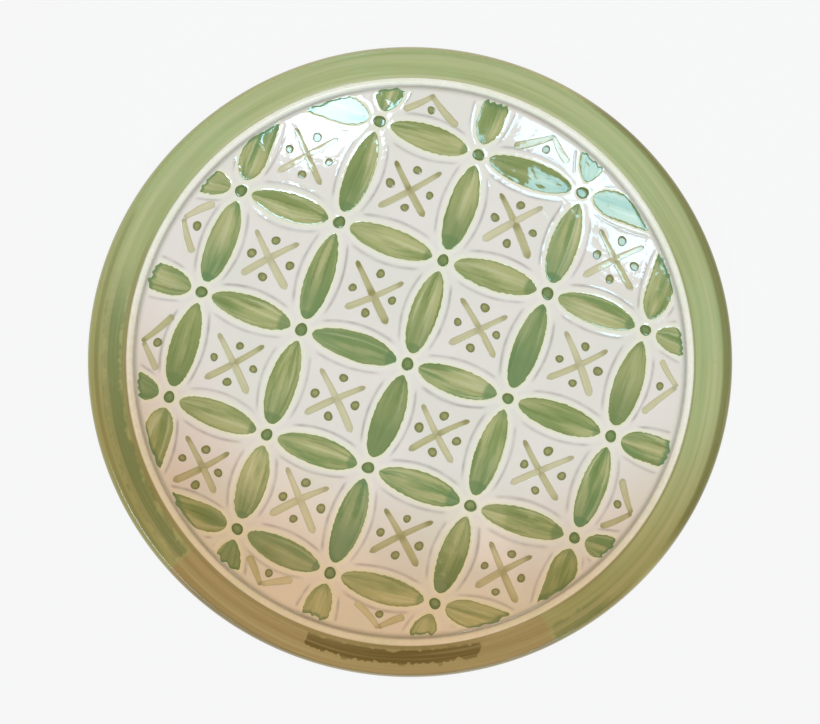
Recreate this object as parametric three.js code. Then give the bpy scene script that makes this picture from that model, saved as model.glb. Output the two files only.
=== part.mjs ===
// A hand painted ceramic plate, in millimetres, +Z up.
// The origin is the centre of the foot ring's underside and +X is the plate's longest direction.
// The fired clay body carries separate coats: a white glaze in the well, a raised slip bead round
// the well, a green glaze over the rim and lip, glazes underneath, and one thick pool of green glaze
// for each petal of the painted pattern.

import * as THREE from 'three';

// Overall form
const PLATE_RADIUS = 150;
const PLATE_HEIGHT = 50;
const OVAL_LOSS = 3.3;
const OVAL_START = 144;
const LATHE_STEPS = 48;

// Well: a shallow cap of a sphere
const WELL_CURVE = 268;
const WELL_FLOOR = 12;
const WELL_EDGE = 128.2;

// Slip bead round the well
const BEAD_WIDTH = 4;
const BEAD_HEIGHT = 1.6;

// Rim and lip
const LIP_RADIUS = 3.9;
const LIP_TOP_ANGLE = 105;
const LIP_BACK_ANGLE = -70;
const RIM_LOW = 45.8;

// Clay and coats
const WALL = 7.7;
const GLAZE = 0.6;
const SEAM = 0.4;
const BOND_GAP = 0.1;

// Foot ring and the hollow inside it
const FOOT_SEAT_OUTER = 74;
const FOOT_SEAT_INNER = 62;
const FOOT_BASE_OUTER = 71.5;
const FOOT_BASE_INNER = 64;
const BASE_MIDDLE = 5;
const BASE_EDGE = 9.5;

// Painted lattice, measured along the curved floor of the well
const LATTICE_CENTRE = new THREE.Vector2(-2, -1);
const LEVEL_PITCH = 52.2;
const LEVEL_ANGLE = -19;
const UPRIGHT_PITCH = 53.4;
const UPRIGHT_ANGLE = -109.6;
const LATTICE_REACH = 5;

// The painter kept the outermost junctions clear of the bead, and the hand wavered a little
const JUNCTION_LIMIT = 117;
const HAND_WAVER = 0.8;
const WAVER_PER_COLUMN = 2.4;
const WAVER_PER_ROW = 1.7;

// Petals
const PETAL_START = 5.9;
const PETAL_HALF_WIDTH = 6.9;
const PETAL_TIP = 0.8;
const PETAL_FULLNESS = 0.72;
const PETAL_EDGE = 0.4;
const PETAL_CROWN = 0.7;
const PETAL_END_CROWN = 0.3;
const PETAL_GAP = 0.35;
const PETAL_LIMIT = 127.2;
const PETAL_LENGTH_STEPS = 6;
const PETAL_WIDTH_STEPS = 2;

function finish(color, roughness, metalness = 0) {
  return new THREE.MeshStandardMaterial({ color, roughness, metalness });
}

function radians(degrees) {
  return THREE.MathUtils.degToRad(degrees);
}

function wellHeight(r) {
  return WELL_FLOOR + WELL_CURVE - Math.sqrt(WELL_CURVE * WELL_CURVE - r * r);
}

// Evenly spaced profile points from one radius to another, at the heights a function gives
function sweep(fromR, toR, steps, heightAt) {
  const points = [];
  for (let i = 0; i <= steps; i += 1) {
    const r = THREE.MathUtils.lerp(fromR, toR, i / steps);
    points.push(new THREE.Vector2(r, heightAt(r)));
  }
  return points;
}

function lipPoint(degrees) {
  const angle = radians(degrees);
  return new THREE.Vector2(
    PLATE_RADIUS - LIP_RADIUS + LIP_RADIUS * Math.cos(angle),
    PLATE_HEIGHT - LIP_RADIUS + LIP_RADIUS * Math.sin(angle),
  );
}

function wellSection() {
  return sweep(0, WELL_EDGE - SEAM, 8, wellHeight);
}

function beadSection() {
  return [
    new THREE.Vector2(WELL_EDGE, wellHeight(WELL_EDGE)),
    new THREE.Vector2(WELL_EDGE + BEAD_WIDTH, RIM_LOW),
  ];
}

function rimSection() {
  const beadEdge = new THREE.Vector2(WELL_EDGE + BEAD_WIDTH, RIM_LOW);
  const lipTop = lipPoint(LIP_TOP_ANGLE);
  const start = beadEdge.clone().lerp(lipTop, SEAM / beadEdge.distanceTo(lipTop));
  const points = [start, start.clone().lerp(lipTop, 0.5)];
  const steps = 5;
  for (let i = 0; i <= steps; i += 1) {
    points.push(lipPoint(THREE.MathUtils.lerp(LIP_TOP_ANGLE, LIP_BACK_ANGLE, i / steps)));
  }
  return points;
}

// The underside from the lip in to the foot ring's seat
function backSection() {
  const lipBack = lipPoint(LIP_BACK_ANGLE);
  const underWell = new THREE.Vector2(WELL_EDGE, wellHeight(WELL_EDGE) - WALL);
  const start = lipBack.clone().lerp(underWell, SEAM / lipBack.distanceTo(underWell));
  const wall = sweep(WELL_EDGE, FOOT_SEAT_OUTER + SEAM, 4, (r) => wellHeight(r) - WALL);
  return [start, ...wall];
}

function seatSection() {
  return [
    new THREE.Vector2(FOOT_SEAT_OUTER, wellHeight(FOOT_SEAT_OUTER) - WALL),
    new THREE.Vector2(FOOT_SEAT_INNER, BASE_EDGE),
  ];
}

function baseSection() {
  const rise = BASE_EDGE - BASE_MIDDLE;
  const heightAt = (r) => BASE_MIDDLE + rise * (r / FOOT_SEAT_INNER) ** 2;
  return sweep(FOOT_SEAT_INNER - SEAM, 0, 3, heightAt);
}

// The finished surface runs from the middle of the well, out over the lip and back underneath.
// Its right hand side is always the clay.
const SECTIONS = {
  well: wellSection(),
  bead: beadSection(),
  rim: rimSection(),
  back: backSection(),
  seat: seatSection(),
  base: baseSection(),
};
const SURFACE = Object.values(SECTIONS).flat();

// The same surface sunk into the clay by some depth
function sunk(depth) {
  return SURFACE.map((point, i) => {
    const before = SURFACE[Math.max(i - 1, 0)];
    const after = SURFACE[Math.min(i + 1, SURFACE.length - 1)];
    const along = after.clone().sub(before).normalize();
    const onAxis = point.x === 0;
    const moved = new THREE.Vector2(point.x + along.y * depth, point.y - along.x * depth);
    return onAxis ? new THREE.Vector2(0, point.y - Math.sign(along.x) * depth) : moved;
  });
}

const COAT_BOTTOM = sunk(GLAZE);
const CLAY_SURFACE = sunk(GLAZE + BOND_GAP);

function sectionOf(line, name) {
  const first = SURFACE.indexOf(SECTIONS[name][0]);
  return line.slice(first, first + SECTIONS[name].length);
}

// The lip is drawn in along Y, so the plate is slightly oval outside the rim's middle
function drawOval(geometry) {
  const position = geometry.attributes.position;
  for (let i = 0; i < position.count; i += 1) {
    const x = position.getX(i);
    const y = position.getY(i);
    const r = Math.hypot(x, y);
    const share = THREE.MathUtils.smoothstep(r, OVAL_START, PLATE_RADIUS);
    if (share > 0) {
      const across = y / r;
      const scale = (r - OVAL_LOSS * share * across * across) / r;
      position.setXY(i, x * scale, y * scale);
    }
  }
  return geometry;
}

// A solid of revolution about +Z from a profile that runs clockwise round its material
function turned(name, profile, material) {
  const points = [...profile].reverse();
  const geometry = new THREE.LatheGeometry(points, LATHE_STEPS);
  geometry.rotateX(Math.PI / 2);
  const mesh = new THREE.Mesh(drawOval(geometry), material);
  mesh.name = name;
  return mesh;
}

function closed(profile) {
  return [...profile, profile[0].clone()];
}

// A coat over one section of the surface
function coat(name, section, material) {
  const top = sectionOf(SURFACE, section);
  const bottom = sectionOf(COAT_BOTTOM, section).reverse();
  const touchesAxis = top.some((point) => point.x === 0);
  if (!touchesAxis) {
    return turned(name, closed([...top, ...bottom]), material);
  }
  const startsOnAxis = top[0].x === 0;
  const profile = startsOnAxis ? [...top, ...bottom] : [...bottom, ...top];
  return turned(name, profile, material);
}

function clayBody() {
  return turned('clay_body', CLAY_SURFACE, finish(0xc9a98a, 0.85));
}

function footRing() {
  const [seatOuter, seatInner] = sectionOf(COAT_BOTTOM, 'seat');
  const profile = [
    seatInner,
    seatOuter,
    new THREE.Vector2(FOOT_BASE_OUTER, 0),
    new THREE.Vector2(FOOT_BASE_INNER, 0),
  ];
  return turned('foot_ring', closed(profile), finish(0xd0b394, 0.9));
}

function slipBead() {
  const [bedInner, bedOuter] = sectionOf(COAT_BOTTOM, 'bead');
  const [inner, outer] = sectionOf(SURFACE, 'bead');
  const middle = inner.clone().add(outer).multiplyScalar(0.5);
  const steps = 4;
  const crown = [];
  for (let i = 0; i <= steps; i += 1) {
    const angle = Math.PI * (1 - i / steps);
    const r = middle.x + (BEAD_WIDTH / 2) * Math.cos(angle);
    const seat = THREE.MathUtils.mapLinear(r, inner.x, outer.x, inner.y, outer.y);
    crown.push(new THREE.Vector2(r, seat + BEAD_HEIGHT * Math.sin(angle)));
  }
  return turned('slip_bead', closed([bedInner, ...crown, bedOuter]), finish(0xe6e4d2, 0.2));
}

function latticeStep(pitch, degrees) {
  return new THREE.Vector2(Math.cos(radians(degrees)), Math.sin(radians(degrees))).multiplyScalar(pitch);
}

const LEVEL_STEP = latticeStep(LEVEL_PITCH, LEVEL_ANGLE);
const UPRIGHT_STEP = latticeStep(UPRIGHT_PITCH, UPRIGHT_ANGLE);

function isJunction(column, row) {
  return column * column + row * row <= LATTICE_REACH;
}

// A junction's place on the well's floor, unrolled flat
function junction(column, row) {
  const place = LATTICE_CENTRE.clone()
    .addScaledVector(LEVEL_STEP, column)
    .addScaledVector(UPRIGHT_STEP, row);
  const phase = WAVER_PER_COLUMN * column + WAVER_PER_ROW * row;
  const waver = new THREE.Vector2(Math.cos(phase), Math.sin(phase)).multiplyScalar(HAND_WAVER);
  return place.clampLength(0, JUNCTION_LIMIT).add(waver);
}

// Rolls a flat place back up on the well, raised a little above its glaze
function onWell(flat, raise) {
  const reach = flat.length();
  const angle = reach / WELL_CURVE;
  const r = WELL_CURVE * Math.sin(angle);
  const scale = reach > 0 ? r / reach : 1;
  return new THREE.Vector3(flat.x * scale, flat.y * scale, wellHeight(r) + raise);
}

// A petal's half width along its length, from 0 at one end to 1 at the other
function petalHalfWidth(t) {
  const arch = Math.max(1 - (2 * t - 1) ** 2, 0) ** PETAL_FULLNESS;
  return PETAL_TIP + (PETAL_HALF_WIDTH - PETAL_TIP) * arch;
}

// A place on a petal: t runs along it and side runs across it, from -1 to 1
function petalPlace(from, to, t, side) {
  const along = to.clone().sub(from);
  const across = new THREE.Vector2(-along.y, along.x).normalize();
  const span = along.length() - 2 * PETAL_START;
  const place = from.clone().addScaledVector(along.normalize(), PETAL_START + span * t);
  return place.addScaledVector(across, side * petalHalfWidth(t));
}

// How far along a petal its painted area goes before it meets the bead round the well
function petalEnd(from, to, side) {
  const limit = WELL_CURVE * Math.asin(PETAL_LIMIT / WELL_CURVE);
  if (petalPlace(from, to, 1, side).length() <= limit) {
    return 1;
  }
  let low = 0;
  let high = 1;
  for (let i = 0; i < 30; i += 1) {
    const middle = (low + high) / 2;
    const inside = petalPlace(from, to, middle, side).length() <= limit;
    low = inside ? middle : low;
    high = inside ? high : middle;
  }
  return low;
}

// The ends of a petal's rows of points, so that a cut petal follows the bead
function petalGrid(from, to) {
  const rows = [];
  for (let i = 0; i <= PETAL_LENGTH_STEPS; i += 1) {
    const row = [];
    for (let j = 0; j <= PETAL_WIDTH_STEPS; j += 1) {
      const side = (2 * j) / PETAL_WIDTH_STEPS - 1;
      const t = (petalEnd(from, to, side) * i) / PETAL_LENGTH_STEPS;
      const swell = Math.max(Math.sin(Math.PI * t), PETAL_END_CROWN);
      const crown = PETAL_CROWN * (1 - side * side) * swell;
      const flat = petalPlace(from, to, t, side);
      row.push({ low: onWell(flat, PETAL_GAP), high: onWell(flat, PETAL_GAP + PETAL_EDGE + crown) });
    }
    rows.push(row);
  }
  return rows;
}

// A closed pool of glaze: a lower skin, a crowned upper skin and a wall round the edge
function petalGeometry(from, to) {
  const rows = petalGrid(from, to);
  const width = PETAL_WIDTH_STEPS + 1;
  const count = rows.length * width;
  const positions = [];
  rows.flat().forEach((place) => positions.push(...place.low.toArray()));
  rows.flat().forEach((place) => positions.push(...place.high.toArray()));
  const index = [];
  const quad = (a, b, c, d) => index.push(a, b, c, a, c, d);
  const at = (i, j) => i * width + j;
  for (let i = 0; i < PETAL_LENGTH_STEPS; i += 1) {
    for (let j = 0; j < PETAL_WIDTH_STEPS; j += 1) {
      const corners = [at(i, j), at(i + 1, j), at(i + 1, j + 1), at(i, j + 1)];
      quad(corners[3], corners[2], corners[1], corners[0]);
      quad(...corners.map((corner) => corner + count));
    }
  }
  const rim = edgeLoop(PETAL_LENGTH_STEPS, PETAL_WIDTH_STEPS).map(([i, j]) => at(i, j));
  rim.forEach((corner, k) => {
    const next = rim[(k + 1) % rim.length];
    quad(corner, next, next + count, corner + count);
  });
  const geometry = new THREE.BufferGeometry();
  geometry.setAttribute('position', new THREE.Float32BufferAttribute(positions, 3));
  geometry.setIndex(index);
  geometry.computeVertexNormals();
  return geometry;
}

// The grid places round the edge of a petal, in the order that keeps the wall facing outward
function edgeLoop(lengthSteps, widthSteps) {
  const loop = [];
  for (let i = 0; i < lengthSteps; i += 1) {
    loop.push([i, 0]);
  }
  for (let j = 0; j < widthSteps; j += 1) {
    loop.push([lengthSteps, j]);
  }
  for (let i = lengthSteps; i > 0; i -= 1) {
    loop.push([i, widthSteps]);
  }
  for (let j = widthSteps; j > 0; j -= 1) {
    loop.push([0, j]);
  }
  return loop;
}

function petal(name, from, to) {
  const mesh = new THREE.Mesh(petalGeometry(from, to), finish(0x7d9c4c, 0.2));
  mesh.name = name;
  return mesh;
}

// One petal on every lattice side that touches a junction. A petal with one free end starts at its
// junction and runs out to the bead.
function petalFamily(prefix, step, columnStep, rowStep) {
  const petals = [];
  const reach = LATTICE_REACH;
  for (let row = -reach; row <= reach; row += 1) {
    for (let column = -reach; column <= reach; column += 1) {
      const starts = isJunction(column, row);
      const ends = isJunction(column + columnStep, row + rowStep);
      if (starts || ends) {
        const near = starts ? junction(column, row) : junction(column + columnStep, row + rowStep);
        const free = near.clone().addScaledVector(step, starts ? 1 : -1);
        const far = starts && ends ? junction(column + columnStep, row + rowStep) : free;
        const number = String(petals.length + 1).padStart(2, '0');
        petals.push(petal(`${prefix}_${number}`, near, far));
      }
    }
  }
  return petals;
}

const plate = new THREE.Group();
plate.add(
  clayBody(),
  footRing(),
  coat('well_glaze', 'well', finish(0xe1dada, 0.15)),
  slipBead(),
  coat('rim_glaze', 'rim', finish(0xa3b477, 0.18)),
  coat('back_glaze', 'back', finish(0xd9d6c4, 0.25)),
  coat('base_glaze', 'base', finish(0xd9d6c4, 0.3)),
  ...petalFamily('petal_level', LEVEL_STEP, 1, 0),
  ...petalFamily('petal_upright', UPRIGHT_STEP, 0, 1),
);

export default plate;
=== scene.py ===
"""A hand painted ceramic plate: its finished surfaces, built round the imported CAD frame.

Lengths are written in millimetres and turned into Blender's metres when a mesh is made.
The pattern is laid out on the floor of the well as if it were unrolled flat, with x and y in
millimetres from the plate's middle, and then rolled back up onto the curve of the well.
"""

import math

import bpy
import numpy as np
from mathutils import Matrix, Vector


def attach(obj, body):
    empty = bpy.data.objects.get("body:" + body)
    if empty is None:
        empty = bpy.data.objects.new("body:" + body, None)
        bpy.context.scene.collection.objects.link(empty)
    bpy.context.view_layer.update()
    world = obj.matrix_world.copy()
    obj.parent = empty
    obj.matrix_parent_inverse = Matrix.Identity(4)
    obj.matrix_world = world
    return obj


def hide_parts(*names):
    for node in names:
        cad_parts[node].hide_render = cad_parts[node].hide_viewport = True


MM = 0.001

# Overall form. These are the CAD model's driving dimensions, apart from the bead's height, crest,
# spread and painted sheen stretch, RIM_CROWN, FOOT_BITE and TURNING_DEPTH, which only this finer
# model has.
PLATE_RADIUS = 150.0
PLATE_HEIGHT = 50.0
OVAL_LOSS = 3.3
OVAL_START = 144.0
WELL_CURVE = 268.0
WELL_FLOOR = 12.0
WELL_EDGE = 128.2
BEAD_WIDTH = 4.0
BEAD_HEIGHT = 0.9
BEAD_CREST = 130.7
BEAD_SPREAD = 1.25
# Azimuths where the bead's green stain is faded out: a painted highlight on the top side.
BEAD_SHEEN_STRETCH = (25.0, 155.0, 30.0, 30.0)
RIM_LOW = 45.8
RIM_CROWN = 0.1
LIP_RADIUS = 3.9
LIP_TOP_ANGLE = 105.0
LIP_BACK_ANGLE = -70.0
WALL = 7.7
GLAZE = 0.6
FOOT_SEAT_OUTER = 74.0
FOOT_SEAT_INNER = 62.0
FOOT_BASE_OUTER = 71.5
FOOT_BASE_INNER = 64.0
BASE_MIDDLE = 5.0
BASE_EDGE = 9.5
FOOT_BITE = 1.4
TURNING_DEPTH = 0.12

# The painted lattice, measured along the curved floor of the well
LATTICE_CENTRE = np.array((-2.0, -1.0))
LEVEL_PITCH = 52.2
LEVEL_ANGLE = -19.0
UPRIGHT_PITCH = 53.4
UPRIGHT_ANGLE = -109.6
# Squared distances in lattice steps: to the last junction, the last cell and the last whole cell
LATTICE_REACH = 5
CELL_REACH = 6.5
FULL_CELL_REACH = 5.0

# The painter kept the outermost junctions clear of the bead, and the hand wavered a little
JUNCTION_LIMIT = 117.0
HAND_WAVER = 0.8
WAVER_PER_COLUMN = 2.4
WAVER_PER_ROW = 1.7

# Petals, and the relief round them
PETAL_START = 5.6
PETAL_HALF_WIDTH = 6.75
PETAL_TIP = 0.12
SHARP_END = 0.62
BLUNT_END = 0.5
PETAL_BELLY = 1.08
PETAL_LIMIT = 127.6
PETAL_WANDER = 0.12
CUT_SWELL = 1.9
CUT_CORNER = 1.5
CUT_NOTCH = 0.5
POOL_SINK = 0.3
POOL_EDGE = 0.07
POOL_CROWN = 0.17
RECESS = 0.15
RIDGE_PLACE = 1.35
RIDGE_SPREAD = 0.95
RIDGE_HEIGHT = 0.12
CREASE_END = 6.1
CREASE_SWELL = 4.3
CREASE_SPREAD = 0.62
CREASE_DEPTH = 0.13
GROOVE_PLACE = -0.1
GROOVE_SPREAD = 1.35
GROOVE_DEPTH = 0.3
RELIEF_REACH = 28.0
BROAD_WAVE = 0.1
HAND_WAVE = 0.018

# Glaze on the rim, with light and shade painted onto it: layer, azimuths it runs between in degrees,
# how softly each end fades in degrees, radius of its middle, half breadth, and strength
RIM_PATCHES = (
    # Painted warm reflection: a tan stretch over the near side of the rim.
    ("warm_reflection", 220.5, 297.6, 0.6, 0.6, 140.0, 13.0, 1.0),
    ("patch", 249.0, 286.0, 1.0, 4.0, 137.2, 3.2, 1.0),
    ("load", 152.0, 220.5, 25.0, 0.6, 138.6, 4.0, 0.85),
    ("load", 297.6, 313.0, 0.6, 6.0, 143.0, 3.8, 0.7),
    ("load", 60.0, 110.0, 20.0, 20.0, 144.5, 2.2, 0.3),
    # Dark lip: partly glaze worn thin on the edge, partly painted shade where the lip turns down and
    # away.
    ("lip", 318.0, 62.0, 14.0, 14.0, 147.6, 2.3, 0.95),
    ("lip", 150.0, 221.0, 3.0, 6.0, 145.8, 1.0, 0.5),
    ("lip", 221.0, 318.0, 8.0, 8.0, 147.4, 1.8, 0.55),
    # Painted shade: a dark line in the valley at the bead's foot, left off the top side.
    ("line", 290.0, 40.0, 20.0, 20.0, 132.9, 0.45, 0.7),
    ("line", 150.0, 290.0, 10.0, 10.0, 133.4, 0.9, 0.8),
    # Pale glaze round the middle of the rim, and a painted highlight: a pale strip beside the bead on
    # the far side.
    ("pale_glaze_and_sheen", 0.0, 359.9, 0.1, 0.1, 141.8, 1.2, 0.4),
    ("pale_glaze_and_sheen", 25.0, 155.0, 30.0, 30.0, 132.9, 1.0, 0.8),
)

# Some petals were painted with a full brush: how many, and how dark that leaves them
FULL_SHARE = 0.16
FULL_LOAD = (0.25, 0.6)

# Dots and brush strokes
JUNCTION_DOT = 2.9
JUNCTION_DOT_CROWN = 0.3
CELL_DOT = 2.1
CELL_DOT_CROWN = 0.12
CELL_DOT_REACH = 9.6
STROKE_HALF_LENGTH = 16.4
STROKE_START_WIDTH = 1.3
STROKE_WIDTH = 1.8
EDGE_STROKE_SHARE = 0.5
EDGE_STROKE_GAP = 3.0
EDGE_DOT_SHARE = 0.35

# Mesh fineness
WELL_CELLS = 400
WELL_SKIN = 0.9
SKIN_SPOKES = 200
SKIN_RINGS = 28
ROUND_STEPS = 840
RIM_ROWS = 34
LIP_ROWS = 26
PETAL_ROWS = 64
PETAL_COLUMNS = 18
BACK_STEPS = 384
CAP_STEPS = 192
DROP_CELLS = 14
STROKE_ROWS = 49
STROKE_COLUMNS = 9
OUTLINE_STEPS = 110

# Lights and camera, in metres apart from KEY_TARGET, which is in millimetres. Directions are azimuth
# and elevation in degrees. A reflected light has its direction, size, power and colour.
REFLECTED_DISTANCE = 1.8
PALE = (0.5, 0.82, 1.0)
COOL = (0.42, 0.78, 1.0)
WARM = (1.0, 0.74, 0.46)
REFLECTED_LIGHTS = (
    ("window_near", -71, 42, (0.47, 0.55), 19, PALE),
    ("window_left", -137, 44, (0.95, 0.4), 16, COOL),
    ("warm_wall", 79, 43, (1.75, 0.68), 5.0, WARM),
    ("warm_wall_left", 112, 58, (0.34, 0.3), 0.6, WARM),
    ("warm_wall_right", 55, 58, (0.85, 0.3), 1.2, WARM),
)
KEY_POWER = 58
KEY_COLOUR = (0.33, 0.7, 1.0)
KEY_SPREAD = 14.8
KEY_BLEND = 0.28
KEY_TARGET = (30, 112, 20)
KEY_DIRECTION = (-105, 68)
KEY_DISTANCE = 1.6
KEY_RADIUS = 0.03
CAMERA_HEIGHT = 1.55
FRAME_WIDTH = 0.3808
SENSOR_WIDTH = 36.0
WORLD_COLOUR = (1.0, 0.74, 0.485, 1)
WORLD_STRENGTH = 0.75

# Floor: its size and depth in millimetres, and the pale grey it glows with
FLOOR_REACH = 3000.0
FLOOR_DROP = 0.2
FLOOR_POINTS = 9
FLOOR_GLOW = (0.91, 0.915, 0.92, 1)

RANDOM_SEED = 1907


# ---- numbers


def smooth_step(value, low, high):
    """0 below low, 1 above high and a smooth rise between them."""
    t = np.clip((value - low) / (high - low), 0.0, 1.0)
    return t * t * (3 - 2 * t)


def bell(distance, spread):
    return np.exp(-((distance / spread) ** 2))


def unit(degrees):
    angle = math.radians(degrees)
    return np.array((math.cos(angle), math.sin(angle)))


class Waves:
    """A smooth seeded unevenness over the plane: a sum of plane waves, from about -1 to 1."""

    def __init__(self, rng, wavelength, count=14):
        angles = rng.uniform(0, 2 * math.pi, count)
        sizes = 2 * math.pi / (wavelength * rng.uniform(0.6, 1.7, count))
        self.ways = np.stack((np.cos(angles) * sizes, np.sin(angles) * sizes))
        self.phases = rng.uniform(0, 2 * math.pi, count)
        self.scale = 1.4 / math.sqrt(count)

    def at(self, places):
        return np.sin(places @ self.ways + self.phases).sum(axis=-1) * self.scale


# ---- meshes


def grid_faces(rows, columns, offset=0):
    """Quads over a grid of rows by columns of points."""
    index = np.arange(rows * columns).reshape(rows, columns) + offset
    corners = (index[:-1, :-1], index[1:, :-1], index[1:, 1:], index[:-1, 1:])
    return np.stack(corners, axis=-1).reshape(-1, 4)


def edge_walk(rows, columns):
    """The grid points round the edge, in the turning sense of grid_faces."""
    index = np.arange(rows * columns).reshape(rows, columns)
    sides = (index[:-1, 0], index[-1, :-1], index[:0:-1, -1], index[0, :0:-1])
    return np.concatenate(sides)


def wall_faces(upper, lower):
    """A strip of quads between two loops of points, facing outward from the upper surface."""
    quads = (lower, np.roll(lower, -1), np.roll(upper, -1), upper)
    return np.stack(quads, axis=-1)


def add_object(name, data):
    made = bpy.data.objects.new(name, data)
    bpy.context.scene.collection.objects.link(made)
    return made


def new_object(name, points, faces, material, attributes=None):
    """A smooth shaded mesh object, from points in millimetres."""
    mesh = bpy.data.meshes.new(name)
    mesh.from_pydata((np.asarray(points) * MM).tolist(), [], [list(map(int, face)) for face in faces])
    mesh.polygons.foreach_set("use_smooth", np.ones(len(mesh.polygons), bool))
    for key, values in (attributes or {}).items():
        layer = mesh.attributes.new(key, "FLOAT", "POINT")
        layer.data.foreach_set("value", np.asarray(values, np.float32))
    mesh.materials.append(material)
    mesh.validate()
    mesh.update()
    return add_object(name, mesh)


def place_piece(piece, slot, *nodes):
    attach(piece, "root")
    if nodes:
        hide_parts(*nodes)


# ---- the plate's form


def well_height(r):
    return WELL_FLOOR + WELL_CURVE - np.sqrt(WELL_CURVE**2 - r * r)


def draw_oval(points):
    """Draws the lip in along Y, so that the plate is slightly oval outside the rim's middle."""
    r = np.hypot(points[..., 0], points[..., 1])
    share = smooth_step(r, OVAL_START, PLATE_RADIUS)
    across = np.divide(points[..., 1], r, out=np.zeros_like(r), where=r > 0)
    scale = np.divide(r - OVAL_LOSS * share * across**2, r, out=np.ones_like(r), where=r > 0)
    result = points.copy()
    result[..., 0] *= scale
    result[..., 1] *= scale
    return result


def on_well(flat, raised):
    """Rolls flat places up onto the well, raised along the surface's own normal."""
    reach = np.hypot(flat[..., 0], flat[..., 1])
    angle = reach / WELL_CURVE
    radius = WELL_CURVE - raised
    away = np.divide(flat, reach[..., None], out=np.zeros_like(flat), where=reach[..., None] > 0)
    out = radius * np.sin(angle)
    height = WELL_FLOOR + WELL_CURVE - radius * np.cos(angle)
    return np.stack((away[..., 0] * out, away[..., 1] * out, height), axis=-1)


def unrolled(r):
    return WELL_CURVE * math.asin(r / WELL_CURVE)


# ---- the pattern


LEVEL_STEP = unit(LEVEL_ANGLE) * LEVEL_PITCH
UPRIGHT_STEP = unit(UPRIGHT_ANGLE) * UPRIGHT_PITCH


def is_junction(column, row):
    return column * column + row * row <= LATTICE_REACH


def even_place(column, row):
    return LATTICE_CENTRE + LEVEL_STEP * column + UPRIGHT_STEP * row


def junction(column, row):
    """A junction's place; a cell corner beyond the bead stays at its even place."""
    place = even_place(column, row)
    if not is_junction(column, row):
        return place
    held = place * min(JUNCTION_LIMIT / np.linalg.norm(place), 1.0)
    phase = WAVER_PER_COLUMN * column + WAVER_PER_ROW * row
    return held + HAND_WAVER * np.array((math.cos(phase), math.sin(phase)))


class Petal:
    """One painted petal: its middle line, and its half width along it."""

    def __init__(self, name, start, end, level, whole, rng):
        self.name = name
        self.start = start
        self.level = level
        self.whole = whole
        self.along = (end - start) / np.linalg.norm(end - start)
        self.across = np.array((-self.along[1], self.along[0]))
        self.span = np.linalg.norm(end - start) - 2 * PETAL_START
        self.half_width = PETAL_HALF_WIDTH * rng.uniform(0.95, 1.05)
        self.belly = PETAL_BELLY * rng.uniform(0.93, 1.07)
        self.bow = rng.uniform(-0.5, 0.5)
        self.crease_ends = rng.uniform(0.0, 0.09, 4)
        self.crease_shift = rng.uniform(-0.35, 0.35, 2)
        self.crease_strength = rng.uniform(0.65, 1.0, 2)
        self.tone = rng.uniform(0.0, 1.0)
        self.load = rng.uniform(*FULL_LOAD) if rng.random() < FULL_SHARE else rng.uniform(0.0, 0.12)
        self.lift = rng.uniform(0.84, 0.93)
        self.seed = rng.uniform(0.0, 100.0)
        self.edge_noise = Waves(rng, 2.6, 6)

    def width_at(self, t):
        """Upright petals start narrow and end blunt; level petals start blunt and end narrow."""
        t = np.clip(t, 0, 1) ** self.belly
        if not self.whole:
            t = np.minimum(t * CUT_SWELL, 0.5 + 0.25 * np.clip(t - 0.5 / CUT_SWELL, 0, 1))
        first, last = (BLUNT_END, SHARP_END) if self.level else (SHARP_END, BLUNT_END)
        fullness = first + (last - first) * smooth_step(t, 0.0, 0.75)
        return PETAL_TIP + (self.half_width - PETAL_TIP) * (4 * t * (1 - t)) ** fullness

    def middle_at(self, t):
        t = np.asarray(t, float)[..., None]
        bow = 4 * t * (1 - t) * self.bow
        return self.start + self.along * (PETAL_START + self.span * t) + self.across * bow

    def place(self, t, side):
        offset = (np.asarray(side, float) * self.width_at(np.asarray(t, float)))[..., None]
        return self.middle_at(t) + self.across * offset

    def reach_of(self, side):
        """How far along the petal each line of it runs before the bead cuts it off."""
        limit = unrolled(PETAL_LIMIT)
        side = np.asarray(side, float)
        if self.whole:
            return np.ones_like(side)
        low = np.zeros_like(side)
        high = np.ones_like(side)
        for _ in range(30):
            middle = (low + high) / 2
            inside = np.linalg.norm(self.place(middle, side), axis=-1) <= limit
            low = np.where(inside, middle, low)
            high = np.where(inside, high, middle)
        notches = CUT_NOTCH * (1 + self.edge_noise.at(np.stack((side * 5.0, side * 0), axis=-1)))
        return np.maximum(low - (notches + CUT_CORNER * side**6) / self.span, 0.04)

    def outline(self):
        side = np.linspace(-1, 1, 28)
        t = (1 - np.cos(np.linspace(0, np.pi, OUTLINE_STEPS))) / 2
        left = self.place(t * self.reach_of(np.ones(OUTLINE_STEPS)), np.ones(OUTLINE_STEPS))
        right = self.place(t * self.reach_of(-np.ones(OUTLINE_STEPS)), -np.ones(OUTLINE_STEPS))
        end = self.place(self.reach_of(side), side)
        return np.concatenate((left, right, end))

    def holds(self, flat):
        """Which flat places lie inside the petal's outline."""
        offset = flat - self.start
        t = (offset @ self.along - PETAL_START) / self.span
        inside = (t > 0) & (t < 1)
        t = np.clip(t, 0, 1)
        side = (offset @ self.across - 4 * t * (1 - t) * self.bow) / self.width_at(t)
        inside &= np.abs(side) < 1
        return inside & (np.linalg.norm(flat, axis=1) < unrolled(PETAL_LIMIT))

    def creases(self):
        """The two grey arcs beside the petal, as lists of places with their strengths."""
        arcs = []
        for k, side in enumerate((1, -1)):
            first = 0.02 + self.crease_ends[2 * k]
            last = 0.98 - self.crease_ends[2 * k + 1]
            t = np.linspace(first, last, OUTLINE_STEPS)
            reach = CREASE_END + self.crease_shift[k] + CREASE_SWELL * np.sin(np.pi * t) ** 0.85
            places = self.middle_at(t) + self.across * (side * reach)[:, None]
            fade = smooth_step(t, first, first + 0.1) * (1 - smooth_step(t, last - 0.12, last))
            arcs.append((places, fade * self.crease_strength[k]))
        return arcs


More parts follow.
